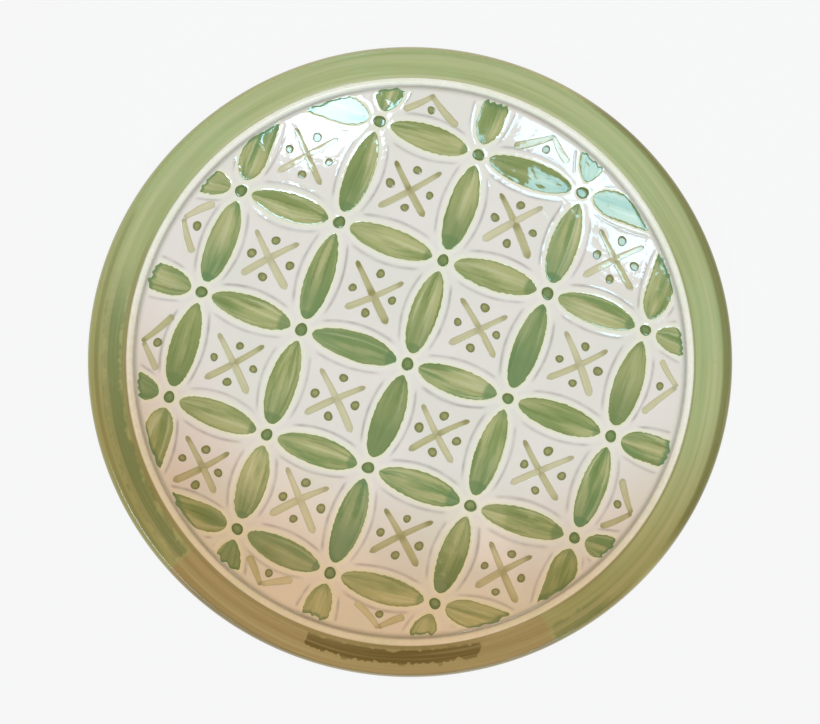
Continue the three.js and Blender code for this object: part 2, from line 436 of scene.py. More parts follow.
def petal_family(kind, step, column_step, row_step, rng):
    """A petal on every lattice side that touches a junction, in the CAD model's order."""
    petals = []
    for row in range(-LATTICE_REACH, LATTICE_REACH + 1):
        for column in range(-LATTICE_REACH, LATTICE_REACH + 1):
            starts = is_junction(column, row)
            ends = is_junction(column + column_step, row + row_step)
            if not (starts or ends):
                continue
            far_junction = junction(column + column_step, row + row_step)
            near = junction(column, row) if starts else far_junction
            free = near + step * (1 if starts else -1)
            far = far_junction if starts and ends else free
            name = f"petal_{kind}_{len(petals) + 1:02d}"
            petals.append(Petal(name, near, far, kind == "level", starts and ends, rng))
    return petals


def all_junctions():
    reach = range(-LATTICE_REACH, LATTICE_REACH + 1)
    return [junction(c, r) for r in reach for c in reach if is_junction(c, r)]


def cell_corners():
    """The four corners of each painted cell, and whether the whole cell lies inside the bead."""
    cells = []
    reach = range(-LATTICE_REACH, LATTICE_REACH)
    for row in reach:
        for column in reach:
            distance = (column + 0.5) ** 2 + (row + 0.5) ** 2
            if distance <= CELL_REACH:
                steps = ((0, 0), (1, 0), (1, 1), (0, 1))
                corners = [junction(column + c, row + r) for c, r in steps]
                cells.append((np.array(corners), distance < FULL_CELL_REACH))
    return cells


# ---- relief of the well


def nearest(points, line):
    """The distance from each point to its nearest place on a line, and that place's number."""
    gaps = points[:, None, :] - line[None, :, :]
    squares = (gaps**2).sum(axis=-1)
    which = squares.argmin(axis=1)
    return np.sqrt(squares[np.arange(len(points)), which]), which


class Relief:
    """The raised lines and creases pressed into the white coat, over the unrolled well."""

    def __init__(self, petals, dots, rng):
        self.petals = petals
        self.dots = dots
        self.broad = Waves(rng, 34.0)
        self.hand = Waves(rng, 9.0)

    def unevenness(self, flat):
        return BROAD_WAVE * self.broad.at(flat) + HAND_WAVE * self.hand.at(flat)

    def near(self, petal, flat):
        """The numbers of the places that one petal's relief can reach."""
        away = np.linalg.norm(flat - petal.middle_at(0.5), axis=1)
        return np.nonzero(away < RELIEF_REACH)[0]

    def outside(self, flat):
        """How far each place is outside the nearest petal or junction dot; less than 0 inside."""
        distance = np.full(len(flat), 99.0)
        for petal in self.petals:
            near = self.near(petal, flat)
            gap, _ = nearest(flat[near], petal.outline())
            gap = np.where(petal.holds(flat[near]), -gap, gap)
            distance[near] = np.minimum(distance[near], gap)
        for place in self.dots:
            distance = np.minimum(distance, np.linalg.norm(flat - place, axis=1) - JUNCTION_DOT)
        return distance

    def crease(self, flat):
        amount = np.zeros(len(flat))
        for petal in self.petals:
            near = self.near(petal, flat)
            for places, strength in petal.creases():
                gap, which = nearest(flat[near], places)
                amount[near] = np.maximum(amount[near], bell(gap, CREASE_SPREAD) * strength[which])
        return amount

    def layers(self, flat):
        """The height, and how much of each place is ridge, crease, petal fringe or edge groove."""
        outside = self.outside(flat)
        rim_gap = unrolled(WELL_EDGE) - np.linalg.norm(flat, axis=1)
        groove = bell(rim_gap - GROOVE_PLACE, GROOVE_SPREAD)
        ridge = bell(outside - RIDGE_PLACE, RIDGE_SPREAD) * smooth_step(rim_gap, 1.0, 2.5)
        fringe = bell(outside, 0.8)
        crease = self.crease(flat) * smooth_step(rim_gap, 2.0, 4.0) * smooth_step(outside, 0.6, 1.6)
        height = RIDGE_HEIGHT * ridge - CREASE_DEPTH * crease - GROOVE_DEPTH * groove
        height = height - RECESS * smooth_step(-outside, 0.0, 0.8)
        return height + self.unevenness(flat), ridge, crease, fringe, groove


# ---- shader helpers


class Shader:
    """A node material with short calls for the nodes used here."""

    def __init__(self, name, roughness):
        self.material = bpy.data.materials.new(name)
        self.material.use_nodes = True
        self.tree = self.material.node_tree
        self.surface = self.tree.nodes["Principled BSDF"]
        self.surface.inputs["Roughness"].default_value = roughness

    def node(self, kind, **settings):
        made = self.tree.nodes.new(kind)
        for key, value in settings.items():
            setattr(made, key, value)
        return made

    def put(self, socket, value):
        if isinstance(value, bpy.types.NodeSocket):
            self.tree.links.new(value, socket)
        else:
            socket.default_value = value

    def attribute(self, name):
        return self.node("ShaderNodeAttribute", attribute_name=name).outputs["Fac"]

    def position(self):
        """The piece's own coordinates, in millimetres."""
        coordinates = self.node("ShaderNodeTexCoord").outputs["Object"]
        return self.scaled(coordinates, (1 / MM, 1 / MM, 1 / MM))

    def scaled(self, vector, factors):
        made = self.node("ShaderNodeVectorMath", operation="MULTIPLY")
        self.put(made.inputs[0], vector)
        made.inputs[1].default_value = factors
        return made.outputs[0]

    def combined(self, x, y, z):
        made = self.node("ShaderNodeCombineXYZ")
        for socket, value in zip(made.inputs, (x, y, z)):
            self.put(socket, value)
        return made.outputs[0]

    def separated(self, vector):
        made = self.node("ShaderNodeSeparateXYZ")
        self.put(made.inputs[0], vector)
        return made.outputs

    def length(self, vector):
        made = self.node("ShaderNodeVectorMath", operation="LENGTH")
        self.put(made.inputs[0], vector)
        return made.outputs["Value"]

    def math(self, operation, first, second=0.0, clamp=False):
        made = self.node("ShaderNodeMath", operation=operation, use_clamp=clamp)
        self.put(made.inputs[0], first)
        self.put(made.inputs[1], second)
        return made.outputs[0]

    def times(self, first, second):
        return self.math("MULTIPLY", first, second)

    def plus(self, first, second, clamp=False):
        return self.math("ADD", first, second, clamp)

    def noise(self, vector, scale, detail=3.0, rough=0.5, distortion=0.0):
        made = self.node("ShaderNodeTexNoise")
        self.put(made.inputs["Vector"], vector)
        made.inputs["Scale"].default_value = scale
        made.inputs["Detail"].default_value = detail
        made.inputs["Roughness"].default_value = rough
        made.inputs["Distortion"].default_value = distortion
        return made.outputs["Fac"]

    def span(self, value, low, high, to_low=0.0, to_high=1.0):
        """Maps low to high onto a new span, smoothly and clamped."""
        made = self.node("ShaderNodeMapRange", interpolation_type="SMOOTHSTEP")
        self.put(made.inputs["Value"], value)
        ends = {"From Min": low, "From Max": high, "To Min": to_low, "To Max": to_high}
        for key, number in ends.items():
            made.inputs[key].default_value = number
        return made.outputs[0]

    def patches(self, place, scale, detail, low, high, to_low=0.0, to_high=1.0):
        """Soft patches of noise, spanned from low to high."""
        return self.span(self.noise(place, scale, detail), low, high, to_low, to_high)

    def mix(self, share, first, second):
        made = self.node("ShaderNodeMix", data_type="RGBA")
        self.put(made.inputs[0], share)
        self.put(made.inputs[6], first)
        self.put(made.inputs[7], second)
        return made.outputs[2]

    def tint(self, colour, share, amount, other):
        """The colour moved towards another by a share of some amount."""
        return self.mix(self.times(share, amount), colour, other)

    def swirls(self, place):
        """The slow unevenness of a thick glaze, shared by the white glaze and the paint on it."""
        return self.noise(place, 0.16, 1.0, 0.4, 0.8)

    def brushed(self, along_scale, across_scale, detail):
        """Streaks along a brush stroke, from the attributes that every painted piece carries."""
        along = self.times(self.attribute("along"), along_scale)
        across = self.times(self.attribute("across"), across_scale)
        return self.noise(self.combined(along, across, self.attribute("seed")), 1.0, detail)

    def bump(self, height, distance):
        made = self.node("ShaderNodeBump")
        made.inputs["Distance"].default_value = distance * MM
        made.inputs["Strength"].default_value = 1.0
        self.put(made.inputs["Height"], height)
        self.put(self.surface.inputs["Normal"], made.outputs[0])

    def colour(self, value):
        self.put(self.surface.inputs["Base Color"], value)

    def roughness(self, value):
        self.put(self.surface.inputs["Roughness"], value)

    def uneven_roughness(self, place, scale, detail, low, high):
        self.roughness(self.patches(place, scale, detail, 0.3, 0.7, low, high))


def rgb(red, green, blue):
    """A screen colour, from 0 to 255 in each channel, as the linear colour that shaders take."""
    shares = [channel / 255 for channel in (red, green, blue)]
    linear = [c / 12.92 if c <= 0.04045 else ((c + 0.055) / 1.055) ** 2.4 for c in shares]
    return (*linear, 1.0)


# ---- materials


def white_glaze_material():
    """Glossy pinkish white glaze. Its raised lines are creamier, partly from thinner glaze and partly
    from painted light; its creases are greyer, partly from glaze pooled in them and partly from
    painted shade; the groove by the bead is greyer with painted shade.
    """
    shader = Shader("white_glaze", 0.07)
    place = shader.position()
    clouds = shader.patches(place, 0.035, 2.0, 0.3, 0.7)
    field = shader.mix(clouds, rgb(236, 229, 226), rgb(230, 228, 221))
    speckle = shader.patches(place, 1.7, 2.0, 0.66, 0.78)
    field = shader.tint(field, speckle, 0.12, rgb(190, 180, 160))
    # Raised lines made creamier: partly thinner glaze on them, partly painted light on their crests.
    ridge = shader.attribute("ridge")
    field = shader.tint(field, ridge, 0.6, rgb(240, 239, 228))
    fringe = shader.attribute("fringe")
    field = shader.tint(field, fringe, 0.85, rgb(238, 238, 204))
    # Creases made greyer: partly glaze pooled in them, partly painted shade.
    patches = shader.patches(place, 0.16, 2.0, 0.25, 0.75, 0.55, 1.0)
    crease = shader.times(shader.attribute("crease"), patches)
    field = shader.mix(crease, field, rgb(172, 166, 164))
    # Painted shade: the groove at the edge of the well made greyer.
    groove = shader.attribute("groove")
    field = shader.tint(field, groove, 0.95, rgb(184, 182, 172))
    shader.colour(field)
    shader.uneven_roughness(place, 0.2, 3.0, 0.05, 0.1)
    swirls = shader.swirls(place)
    marks = shader.times(shader.noise(place, 0.42, 1.0), 0.3)
    shader.bump(shader.plus(swirls, marks), 0.12)
    return shader.material


def bead_material():
    """Cream slip under clear glaze, stained a little by the green beside it, with painted shade on
    its inner foot by the groove; the stain is faded out on the top side as a painted highlight.
    """
    shader = Shader("slip_bead", 0.25)
    place = shader.position()
    stain = shader.patches(place, 0.08, 3.0, 0.4, 0.7)
    colour = shader.mix(stain, rgb(246, 244, 234), rgb(238, 241, 224))
    # The green stain on the outer edge, faded out on the top side as a painted highlight.
    edge = shader.times(shader.attribute("outer"), 0.8)
    colour = shader.mix(edge, colour, rgb(184, 184, 146))
    # Painted shade on the bead's inner foot, where it drops into the groove.
    shade = shader.times(shader.attribute("inner"), 0.9)
    colour = shader.mix(shade, colour, rgb(184, 182, 172))
    shader.colour(colour)
    shader.uneven_roughness(place, 0.3, 2.0, 0.2, 0.32)
    shader.bump(shader.noise(place, 0.4, 3.0), 0.1)
    return shader.material


def round_streaks(shader, fine, length):
    """Noise drawn out into streaks that run round the plate's axis."""
    place = shader.position()
    x, y, _ = shader.separated(place)
    flat = shader.combined(x, y, 0.0)
    r = shader.length(flat)
    way = shader.node("ShaderNodeVectorMath", operation="NORMALIZE")
    shader.put(way.inputs[0], flat)
    wander = shader.noise(shader.scaled(way.outputs[0], (1.3, 1.3, 1.3)), 1.0, 1.0)
    drifted = shader.plus(r, shader.times(wander, 3.0))
    round_x, round_y, _ = shader.separated(shader.scaled(way.outputs[0], (length, length, 0.0)))
    vector = shader.combined(round_x, round_y, shader.times(drifted, fine))
    return shader.noise(vector, 1.0, 4.0, 0.55), r


def rim_material():
    """Green glaze brushed round the rim on the wheel and heaped in places, with light painted in: a
    tan stretch on the near side is a painted warm reflection, a pale strip by the bead on the far
    side is a painted highlight, a dark line at the bead's foot is painted shade, and the dark lip is
    partly glaze worn thin and partly painted shade.
    """
    shader = Shader("rim_green", 0.16)
    place = shader.position()
    streaks, _ = round_streaks(shader, 0.3, 1.1)
    hairs, _ = round_streaks(shader, 1.1, 2.0)
    ragged = shader.times(shader.math("SUBTRACT", shader.noise(place, 0.3, 3.0), 0.5), 0.7)
    green = shader.mix(shader.span(streaks, 0.3, 0.7), rgb(158, 170, 118), rgb(180, 188, 136))
    blotches = shader.patches(place, 0.035, 2.0, 0.35, 0.65)
    green = shader.tint(green, blotches, 0.45, rgb(164, 186, 134))
    soft_load = shader.plus(shader.attribute("load"), shader.times(ragged, 0.35))
    green = shader.mix(shader.span(soft_load, 0.05, 0.95, 0.0, 0.9), green, rgb(122, 146, 98))
    # Painted warm reflection: tan standing in for a warm wall seen in the glaze on the near side.
    reflected_tan = shader.mix(shader.span(streaks, 0.35, 0.7), rgb(164, 156, 114), rgb(180, 172, 132))
    green = shader.mix(shader.attribute("warm_reflection"), green, reflected_tan)
    edge = shader.plus(shader.attribute("patch"), ragged)
    green = shader.mix(shader.span(edge, 0.36, 0.56), green, rgb(114, 104, 48))
    # Pale glaze round the rim's middle, and a painted highlight beside the bead on the far side.
    green = shader.mix(shader.attribute("pale_glaze_and_sheen"), green, rgb(192, 194, 152))
    # Painted shade in the valley at the bead's foot.
    green = shader.mix(shader.attribute("line"), green, rgb(150, 146, 100))
    # Dark lip: partly glaze worn thin on the edge, partly painted shade where it turns away.
    worn_lip_and_shade = shader.times(shader.attribute("lip"), shader.span(hairs, 0.25, 0.6, 0.6, 1.0))
    green = shader.mix(worn_lip_and_shade, green, rgb(114, 120, 70))
    green = shader.mix(shader.span(hairs, 0.45, 0.75, 0.0, 0.3), green, rgb(190, 194, 150))
    green = shader.mix(shader.span(hairs, 0.25, 0.42, 0.3, 0.0), green, rgb(134, 140, 86))
    shader.colour(green)
    shader.roughness(shader.span(hairs, 0.3, 0.7, 0.13, 0.2))
    shader.bump(shader.plus(hairs, shader.noise(place, 0.3, 2.0)), 0.04)
    return shader.material


def petal_material():
    """Green glaze laid with a loaded brush: streaks along the petal, darker where it pooled."""
    shader = Shader("petal_green", 0.07)
    across = shader.attribute("across")
    tone = shader.attribute("tone")
    streaks = shader.brushed(1.2, 1.1, 3.0)
    hairs = shader.brushed(1.1, 2.6, 2.0)
    green = shader.mix(tone, rgb(120, 149, 92), rgb(144, 156, 96))
    colour = shader.mix(shader.span(streaks, 0.36, 0.62), green, rgb(182, 183, 130))
    colour = shader.mix(shader.span(hairs, 0.5, 0.7, 0.0, 0.75), colour, rgb(202, 203, 160))
    colour = shader.mix(shader.span(hairs, 0.28, 0.44, 0.7, 0.0), colour, rgb(114, 132, 76))
    shade = shader.attribute("shade")
    pooled = shader.mix(tone, rgb(92, 134, 90), rgb(108, 134, 82))
    colour = shader.tint(colour, shade, 0.85, pooled)
    edge = shader.span(shader.math("ABSOLUTE", across), 0.8, 1.0)
    colour = shader.tint(colour, edge, 0.5, rgb(124, 142, 84))
    shader.colour(colour)
    place = shader.position()
    shader.uneven_roughness(place, 0.25, 2.0, 0.05, 0.1)
    swirls = shader.swirls(place)
    shader.bump(shader.plus(swirls, shader.times(hairs, 0.25)), 0.12)
    return shader.material


def dot_material(name, middle, edge):
    """A drop of glaze: paler in its middle, darker where it dried at its edge."""
    shader = Shader(name, 0.09)
    place = shader.position()
    ring = shader.span(shader.attribute("reach"), 0.35, 0.9)
    mottle = shader.patches(place, 0.5, 2.0, 0.3, 0.7, 0.0, 0.5)
    share = shader.plus(ring, mottle, clamp=True)
    shader.colour(shader.mix(share, middle, edge))
    shader.roughness(shader.span(mottle, 0.0, 0.5, 0.06, 0.12))
    shader.bump(shader.noise(place, 0.6, 2.0), 0.05)
    return shader.material


def wash_material():
    """Thin olive brush strokes: nearly clear in the middle, darker at the ends and the crossing."""
    shader = Shader("olive_wash", 0.08)
    across = shader.attribute("across")
    streaks = shader.brushed(3.0, 1.6, 3.0)
    colour = shader.mix(shader.span(streaks, 0.3, 0.7), rgb(206, 201, 162), rgb(190, 186, 138))
    dark = shader.attribute("dark")
    colour = shader.mix(dark, colour, rgb(140, 136, 80))
    faint = shader.times(shader.attribute("faint"), 0.55)
    colour = shader.mix(faint, colour, rgb(222, 216, 192))
    rind = shader.span(shader.math("ABSOLUTE", across), 0.45, 0.85, 0.0, 0.35)
    colour = shader.mix(rind, colour, rgb(176, 172, 120))
    soft = shader.span(shader.math("ABSOLUTE", across), 0.84, 1.0, 0.0, 0.7)
    colour = shader.mix(soft, colour, rgb(231, 227, 218))
    shader.colour(colour)
    place = shader.position()
    shader.uneven_roughness(place, 0.3, 2.0, 0.05, 0.1)
    shader.bump(shader.swirls(place), 0.12)
    return shader.material


def back_material():
    """Cream glaze on the outside: turning marks, pinholes and green that ran down from the lip."""
    shader = Shader("back_cream", 0.14)
    place = shader.position()
    rings, r = round_streaks(shader, 0.6, 1.2)
    cream = shader.mix(shader.span(rings, 0.35, 0.65), rgb(222, 216, 196), rgb(205, 198, 172))
    specks = shader.patches(place, 0.9, 2.0, 0.68, 0.76)
    cream = shader.tint(cream, specks, 0.6, rgb(150, 128, 96))
    runs = shader.plus(r, shader.times(shader.noise(place, 0.05, 3.0), 14.0))
    cream = shader.mix(shader.span(runs, 146.0, 153.0), cream, rgb(158, 170, 122))
    shader.colour(cream)
    shader.roughness(shader.span(rings, 0.3, 0.7, 0.1, 0.22))
    shader.bump(shader.plus(rings, shader.noise(place, 0.3, 3.0)), 0.25)
    return shader.material


def clay_material(name, light, dark):
    """Fired buff clay with turning lines and grog."""
    shader = Shader(name, 0.8)
    place = shader.position()
    rings, _ = round_streaks(shader, 1.6, 1.5)
    grog = shader.patches(place, 1.3, 3.0, 0.58, 0.72)
    clay = shader.mix(shader.span(rings, 0.3, 0.7), light, dark)
    clay = shader.tint(clay, grog, 0.5, rgb(120, 88, 62))
    shader.colour(clay)
    shader.roughness(shader.span(rings, 0.3, 0.7, 0.7, 0.9))
    shader.bump(shader.plus(rings, shader.noise(place, 1.2, 3.0)), 0.35)
    return shader.material


# ---- turned pieces


def lip_profile(first, last, count):
    angle = np.radians(np.linspace(first, last, count))
    r = PLATE_RADIUS - LIP_RADIUS + LIP_RADIUS * np.cos(angle)
    z = PLATE_HEIGHT - LIP_RADIUS + LIP_RADIUS * np.sin(angle)
    return np.stack((r, z), axis=-1)


def sunk(profile, depth):
    """The profile moved to its right hand side, which is into the clay."""
    along = np.gradient(profile, axis=0)
    along /= np.linalg.norm(along, axis=1, keepdims=True)
    moved = profile + np.stack((along[:, 1], -along[:, 0]), axis=-1) * depth
    moved[profile[:, 0] == 0, 0] = 0.0
    return moved


def turned_points(profile, steps):
    """The points of a profile turned round the plate's axis, as a grid of steps by profile."""
    angle = np.linspace(0, 2 * np.pi, steps, endpoint=False)[:, None]
    r = profile[None, :, 0]
    z = np.broadcast_to(profile[None, :, 1], (steps, len(profile)))
    return np.stack((np.cos(angle) * r, np.sin(angle) * r, z), axis=-1), angle


def turned_faces(steps, rows, closes):
    """Quads of a turned surface whose profile runs clockwise round its material."""
    index = np.arange(steps * rows).reshape(steps, rows)
    index = np.vstack((index, index[:1]))
    if closes:
        index = np.hstack((index, index[:, :1]))
    corners = (index[:-1, :-1], index[:-1, 1:], index[1:, 1:], index[1:, :-1])
    return np.stack(corners, axis=-1).reshape(-1, 4)


def turned_piece(name, profile, material, unevenness=None, attributes=None, steps=ROUND_STEPS):
    """A closed turned ring. The unevenness is a function of the angle and the profile's place."""
    points, angle = turned_points(profile, steps)
    if unevenness is not None:
        points[..., 2] += unevenness(angle, np.arange(len(profile))[None, :])
    faces = turned_faces(steps, len(profile), True)
    spread = {}
    for key, value in (attributes or {}).items():
        spread[key] = np.broadcast_to(value, points.shape[:2]).ravel()
    return new_object(name, draw_oval(points).reshape(-1, 3), faces, material, spread)


def round_waves(rng, depth, turns):
    """A seeded waver round the plate, as a function of the angle."""
    phases = rng.uniform(0, 2 * np.pi, turns)
    sizes = rng.uniform(0.3, 1.0, turns) / np.arange(1, turns + 1) ** 0.5

    def waver(angle, _row):
        orders = np.arange(1, turns + 1)
        return depth * (sizes * np.sin(angle[..., None] * orders + phases)).sum(axis=-1)

    return waver


def step_azimuths():
    return np.linspace(0, 360, ROUND_STEPS, endpoint=False)


def coat_profile(top):
    """A closed profile: a stretch of finished surface, and the same sunk by the glaze."""
    return np.vstack((top, sunk(top, GLAZE)[::-1]))


def stretch_share(azimuth, start, end, soft_start, soft_end):
    """1 along the stretch from one azimuth to another, and 0 beyond its soft ends."""
    turn = (azimuth - start) % 360
    length = (end - start) % 360
    return smooth_step(turn, 0, soft_start) * (1 - smooth_step(turn, length - soft_end, length))


def rim_layers(azimuth, r, rng):
    """How strongly each patch of glaze on the rim shows, over a grid of azimuth by radius."""
    angle = np.radians(azimuth)[:, None]
    places = np.stack((np.cos(angle) * r, np.sin(angle) * r), axis=-1)
    wander = 0.45 * Waves(rng, 12.0).at(places) + 0.4 * Waves(rng, 3.5).at(places)
    layers = {patch[0]: np.zeros(wander.shape) for patch in RIM_PATCHES}
    for name, start, end, soft_start, soft_end, middle, half, strength in RIM_PATCHES:
        drift = wander * smooth_step(half, 2.4, 3.1)
        stretch = stretch_share(azimuth[:, None] + 0.3 * drift, start, end, soft_start, soft_end)
        breadth = 1 - smooth_step(np.abs(r + drift - middle), half * 0.6, half * 1.4)
        layers[name] = np.maximum(layers[name], strength * stretch * breadth)
    return layers


def rim_band(material, rng):
    """The green coat over the rim and lip, from the bead round to the back."""
    start = np.array((WELL_EDGE + BEAD_WIDTH + 0.1, RIM_LOW))
    lip_start = lip_profile(LIP_TOP_ANGLE, LIP_TOP_ANGLE, 1)[0]
    slope = np.linspace(start, lip_start, RIM_ROWS)
    slope[:, 1] += RIM_CROWN * np.sin(np.pi * np.linspace(0, 1, RIM_ROWS))
    lip = lip_profile(LIP_TOP_ANGLE, LIP_BACK_ANGLE, LIP_ROWS)[1:]
    top = np.vstack((slope, lip))
    rows = len(top)
    azimuth = step_azimuths()
    outward = np.where(np.arange(rows) > top[:, 0].argmax(), 2 * PLATE_RADIUS - top[:, 0], top[:, 0])
    layers = rim_layers(azimuth, outward, rng)
    marks = rng.uniform(-1, 1, rows)
    marks = np.convolve(marks, (0.25, 0.5, 0.25), mode="same") * 0.05
    ridges = np.concatenate((marks, marks * 0))
    waver = round_waves(rng, 0.10, 7)

    def unevenness(angle, row):
        return waver(angle, row) + ridges[row]

    both_sides = {key: np.hstack((value, value[:, ::-1])) for key, value in layers.items()}
    return turned_piece("rim_band", coat_profile(top), material, unevenness, both_sides)


def bead_ring(material, rng):
    """The raised slip bead: a trailed line, so it swells and thins as it goes round."""
    inner = np.array((WELL_EDGE - 0.5, well_height(WELL_EDGE - 0.5) - 0.75))
    outer = np.array((WELL_EDGE + BEAD_WIDTH + 0.5, RIM_LOW - 0.1))
    count = 26
    share = np.linspace(0, 1, count)
    base = inner + (outer - inner) * share[:, None]
    crown = BEAD_HEIGHT * bell(base[:, 0] - BEAD_CREST, BEAD_SPREAD)
    top = base + np.stack((np.zeros(count), crown), axis=-1)
    bottom = np.linspace(outer - (0.3, 0.9), inner + (0.3, -0.5), 4)
    profile = np.vstack((top, bottom))
    waver = round_waves(rng, 0.05, 24)
    body = np.concatenate((np.sin(np.pi * share), np.zeros(4)))
    off_crest = base[:, 0] - BEAD_CREST
    stain = np.concatenate((smooth_step(off_crest, 1.1, 1.7), np.zeros(4)))
    # Painted shade for the bead's inner foot, by the groove.
    shade = np.concatenate((1 - smooth_step(off_crest, -1.8, -0.9), np.zeros(4)))
    # Painted highlight: the green stain faded out over the top side of the bead.
    painted_sheen = stretch_share(step_azimuths(), *BEAD_SHEEN_STRETCH)
    layers = {"outer": stain * (1 - 0.85 * painted_sheen[:, None]), "inner": shade}

    def unevenness(angle, row):
        return waver(angle, row) * body[row]

    return turned_piece("bead_ring", profile, material, unevenness, layers)


def back_profile():
    lip_back = lip_profile(LIP_BACK_ANGLE, LIP_BACK_ANGLE, 1)[0]
    under = np.array((WELL_EDGE, well_height(WELL_EDGE) - WALL))
    flare = np.linspace(lip_back, under, 12)
    r = np.linspace(WELL_EDGE, FOOT_SEAT_OUTER + 0.2, 50)[1:]
    wall = np.stack((r, well_height(r) - WALL), axis=-1)
    return np.vstack((flare, wall))


def base_height(r):
    return BASE_MIDDLE + (BASE_EDGE - BASE_MIDDLE) * (r / FOOT_SEAT_INNER) ** 2


def back_coat(material, rng):
    """The glaze on the outside, with the shallow rings that turning left."""
    top = back_profile()
    rows = len(top)
    r = top[:, 0]
    fade = smooth_step(r, 76, 84) * (1 - smooth_step(r, 136, 144))
    turning = TURNING_DEPTH * np.sin((r - FOOT_SEAT_OUTER) * 1.1) * fade
    ridges = np.concatenate((turning, np.zeros(rows)))
    waver = round_waves(rng, 0.03, 9)

    def unevenness(angle, row):
        return waver(angle, row) * (row < rows) + ridges[row]

    return turned_piece("back_coat", coat_profile(top), material, unevenness, steps=BACK_STEPS)


def foot_piece(material):
    """The turned foot ring, its edges rubbed round where it stands."""
    seat_outer = np.array((FOOT_SEAT_OUTER, well_height(FOOT_SEAT_OUTER) - WALL + FOOT_BITE))
    seat_inner = np.array((FOOT_SEAT_INNER, BASE_EDGE + FOOT_BITE))
    outer_wall = np.linspace(seat_outer, (FOOT_BASE_OUTER, 1.2), 14)
    outer_wall[:, 0] -= 0.9 * np.sin(np.pi * np.linspace(0, 1, 14))
    rubbed = (FOOT_BASE_OUTER - 0.4, 0.3)
    base = np.array((rubbed, (FOOT_BASE_OUTER - 1.4, 0.0), (FOOT_BASE_INNER + 1.2, 0.0)))
    inner_start = np.array((FOOT_BASE_INNER + 0.2, 0.4))
    inner_wall = np.linspace(inner_start, seat_inner, 10)
    seat = np.linspace(seat_inner, seat_outer, 6)[1:]
    profile = np.vstack((seat, outer_wall[1:], base, inner_wall[:-1]))
    return turned_piece("foot_turned", profile, material, steps=BACK_STEPS)


def disc_fan(ring, centre):
    """Triangles from a loop of points to one point in its middle."""
    return [(start, end, centre) for start, end in zip(ring, np.roll(ring, -1))]


def turned_cap(name, profile, material):
    """A turned solid whose open profile starts and ends on the axis."""
    steps = CAP_STEPS
    inner = profile[1:-1]
    points, _ = turned_points(inner, steps)
    rows = len(inner)
    index = np.arange(steps * rows).reshape(steps, rows)
    top = steps * rows
    faces = [*turned_faces(steps, rows, False), *disc_fan(index[:, 0], top)]
    faces += [face[::-1] for face in disc_fan(index[:, -1], top + 1)]
    ends = np.array(((0, 0, profile[0, 1]), (0, 0, profile[-1, 1])))
    every = np.vstack((draw_oval(points).reshape(-1, 3), ends))
    return new_object(name, every, faces, material)


def base_coat(material):
    """The glaze inside the foot ring."""
    r = np.linspace(FOOT_SEAT_INNER - 0.2, 0, 34)
    under = np.stack((r, base_height(r) + 0.06 * np.sin(r * 1.2)), axis=-1)
    under[-1, 0] = 0
    profile = np.vstack((sunk(under, GLAZE)[::-1], under))
    return turned_cap("base_coat", profile, material)


def body_core(material):
    """The clay under all the coats, sunk a little way below them."""
    r = np.linspace(0, WELL_EDGE, 60)
    well = np.stack((r, well_height(r)), axis=-1)
    lip_start = lip_profile(LIP_TOP_ANGLE, LIP_TOP_ANGLE, 1)[0]
    rim = np.linspace((WELL_EDGE + BEAD_WIDTH, RIM_LOW - 0.4), lip_start, 8)
    lip = lip_profile(LIP_TOP_ANGLE, LIP_BACK_ANGLE, 16)[1:]
    back = back_profile()[1::4]
    r = np.linspace(FOOT_SEAT_INNER, 0, 16)
    base = np.stack((r, base_height(r)), axis=-1)
    surface = np.vstack((well, rim, lip, back, base))
    profile = sunk(surface, GLAZE + 0.5)
    profile[0, 0] = 0
    profile[-1, 0] = 0
    return turned_cap("body_core", profile, material)


# ---- the well


def disc_grid(cells):
    """A square grid squeezed into a unit disc with its cells kept nearly square."""
    line = np.linspace(-1, 1, cells + 1)
    a, b = np.meshgrid(line, line, indexing="ij")
    wide = np.abs(a) > np.abs(b)
    radius = np.where(wide, a, b)
    safe = np.where(radius == 0, 1, radius)
    quarter = np.pi / 4
    angle = np.where(wide, quarter * b / safe, np.pi / 2 - quarter * a / safe)
    return np.stack((radius * np.cos(angle), radius * np.sin(angle)), axis=-1)


def halving_faces(outer, inner):
    """Triangles, facing down, between a loop of points and an inner loop with half as many."""
    faces = []
    count = len(inner)
    for i in range(count):
        a, b, c = outer[2 * i], outer[2 * i + 1], outer[(2 * i + 2) % len(outer)]
        d, e = inner[i], inner[(i + 1) % count]
        faces += [(a, d, b), (b, d, e), (b, e, c)]
    return faces


def skin_below(outline, first):
    """The plain underside of the white coat: its points, and its faces numbered from first."""
    depth = -WELL_SKIN
    points = [on_well(outline, np.full(len(outline), depth))]
    ring = np.arange(first, first + len(outline))
    faces = []
    start = first + len(outline)
    while len(ring) > SKIN_SPOKES:
        outline = outline[::2] * 0.985
        inner = np.arange(start, start + len(outline))
        faces += halving_faces(ring, inner)
        points.append(on_well(outline, np.full(len(outline), depth)))
        ring = inner
        start += len(outline)
    for share in np.linspace(1, 0, SKIN_RINGS)[1:-1]:
        inner = np.arange(start, start + len(outline))
        faces += [*wall_faces(inner, ring)]
        points.append(on_well(outline * share, np.full(len(outline), depth)))
        ring = inner
        start += len(outline)
    points.append(on_well(np.zeros((1, 2)), np.full(1, depth)))
    faces += [face[::-1] for face in disc_fan(ring, start)]
    return np.vstack(points), faces


